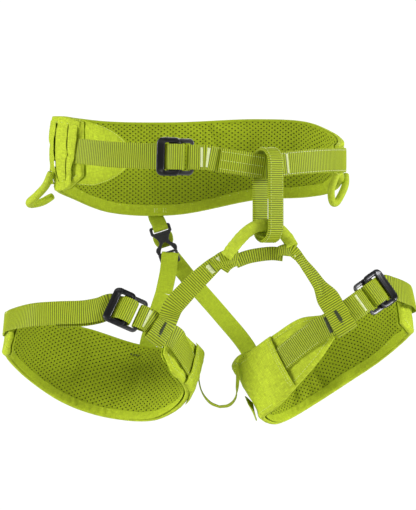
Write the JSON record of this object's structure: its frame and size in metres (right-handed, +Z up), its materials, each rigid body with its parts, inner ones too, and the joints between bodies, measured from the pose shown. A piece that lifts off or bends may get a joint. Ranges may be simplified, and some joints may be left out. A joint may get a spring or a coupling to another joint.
{
  "type": "climbing harness",
  "caption": "Sit harness for a child climber: padded waist belt and two padded leg loops joined by webbing, with a belay loop, slide-block buckles and gear loops.",
  "frame": {"origin": "middle of the waist opening, at the mid height of the front webbing", "axes": "+X to the right as seen from the front, +Y to the back of the wearer, +Z up"},
  "size_m": [0.414, 0.1911, 0.309],
  "materials": {
    "ripstop": "fine ripstop weave, matt",
    "foam": "closed-cell foam",
    "mesh": "perforated spacer fabric, matt",
    "binding": "folded stretch fabric",
    "webbing": "ribbed polyamide webbing with a slight sheen",
    "buckle": "dark anodised, satin",
    "clip": "moulded acetal",
    "cord": "smooth woven tape"
  },
  "bodies": {
    "belt": {"belt_adjusting_webbing": "webbing", "belt_bottom_binding": "binding", "belt_buckle_slider": "buckle", "belt_end_patch_left": "ripstop", "belt_end_patch_right": "ripstop", "belt_foam_core": "foam", "belt_mesh_lining": "mesh", "belt_outer_shell": "ripstop", "belt_tie_in_webbing": "webbing", "bridge_left_webbing": "webbing", "bridge_lower_webbing": "webbing", "bridge_right_webbing": "webbing", "bridge_sleeve": "cord", "leg_link_elastic": "cord", "riser_clip_plug": "clip", "riser_left_elastic": "cord", "riser_right_elastic": "cord", "riser_strap": "cord", "tie_in_overlay": "webbing", "wing_band_1": "ripstop", "wing_band_2": "ripstop", "wing_band_3": "ripstop", "wing_band_4": "ripstop"},
    "belay_loop": {"belay_loop": "webbing"},
    "belt_buckle": {"belt_buckle_frame": "buckle"},
    "left_leg_buckle": {"left_leg_buckle_frame": "buckle"},
    "right_leg_buckle": {"right_leg_buckle_frame": "buckle"},
    "riser_socket": {"riser_clip_socket": "clip"},
    "left_gear_loop": {"gear_loop_left": "cord"},
    "right_gear_loop": {"gear_loop_right": "cord"},
    "left_leg": {"left_leg_binding": "binding", "left_leg_buckle_slider": "buckle", "left_leg_cuff": "ripstop", "left_leg_foam_core": "foam", "left_leg_front_webbing": "webbing", "left_leg_mesh_lining": "mesh", "left_leg_outer_shell": "ripstop", "left_leg_side_webbing": "webbing"},
    "right_leg": {"right_leg_binding": "binding", "right_leg_buckle_slider": "buckle", "right_leg_cuff": "ripstop", "right_leg_foam_core": "foam", "right_leg_front_webbing": "webbing", "right_leg_mesh_lining": "mesh", "right_leg_outer_shell": "ripstop", "right_leg_side_webbing": "webbing"}
  },
  "joints": [
    {"name": "belay_loop_swing", "type": "hinge", "parent": "belt", "child": "belay_loop", "pos_m": [0.068, -0.08, -0.007], "axis": [0.8572, 0.515, 0], "range_deg": [-5, 5]},
    {"name": "belt_buckle_tilt", "type": "hinge", "parent": "belt", "child": "belt_buckle", "pos_m": [-0.01836, -0.09079, 0.00138], "axis": [0.0261, -0.0025, 0.9997], "range_deg": [0, 20], "deforming": ["belt_adjusting_webbing"]},
    {"name": "left_leg_swing", "type": "hinge", "parent": "belt", "child": "left_leg", "pos_m": [-0.038, -0.073, -0.169], "axis": [1, 0, 0], "range_deg": [0, 14], "deforming": ["bridge_left_webbing", "riser_left_elastic", "leg_link_elastic"]},
    {"name": "left_leg_buckle_tilt", "type": "hinge", "parent": "left_leg", "child": "left_leg_buckle", "pos_m": [-0.06779, -0.0743, -0.15133], "axis": [0.394, 0.3456, 0.8517], "range_deg": [0, 20], "deforming": ["left_leg_side_webbing"]},
    {"name": "right_leg_swing", "type": "hinge", "parent": "belt", "child": "right_leg", "pos_m": [0.139, -0.084, -0.157], "axis": [1, 0, 0], "range_deg": [0, 14], "deforming": ["bridge_right_webbing", "riser_right_elastic"]},
    {"name": "right_leg_buckle_tilt", "type": "hinge", "parent": "right_leg", "child": "right_leg_buckle", "pos_m": [0.17085, -0.06857, -0.13416], "axis": [0.5805, -0.0268, -0.8138], "range_deg": [0, 20], "deforming": ["right_leg_side_webbing"]},
    {"name": "riser_release", "type": "slide", "parent": "belt", "child": "riser_socket", "axis": [0.309, 0, -0.9511], "range_m": [0, 0.022]},
    {"name": "left_gear_swing", "type": "hinge", "parent": "belt", "child": "left_gear_loop", "pos_m": [-0.14725, 0.0005, -0.0245], "axis": [-0.0087, 0.9173, -0.3981], "range_deg": [0, 25]},
    {"name": "right_gear_swing", "type": "hinge", "parent": "belt", "child": "right_gear_loop", "pos_m": [0.14425, -0.01625, -0.018], "axis": [-0.2728, -0.9502, 0.1505], "range_deg": [0, 25]}
  ]
}
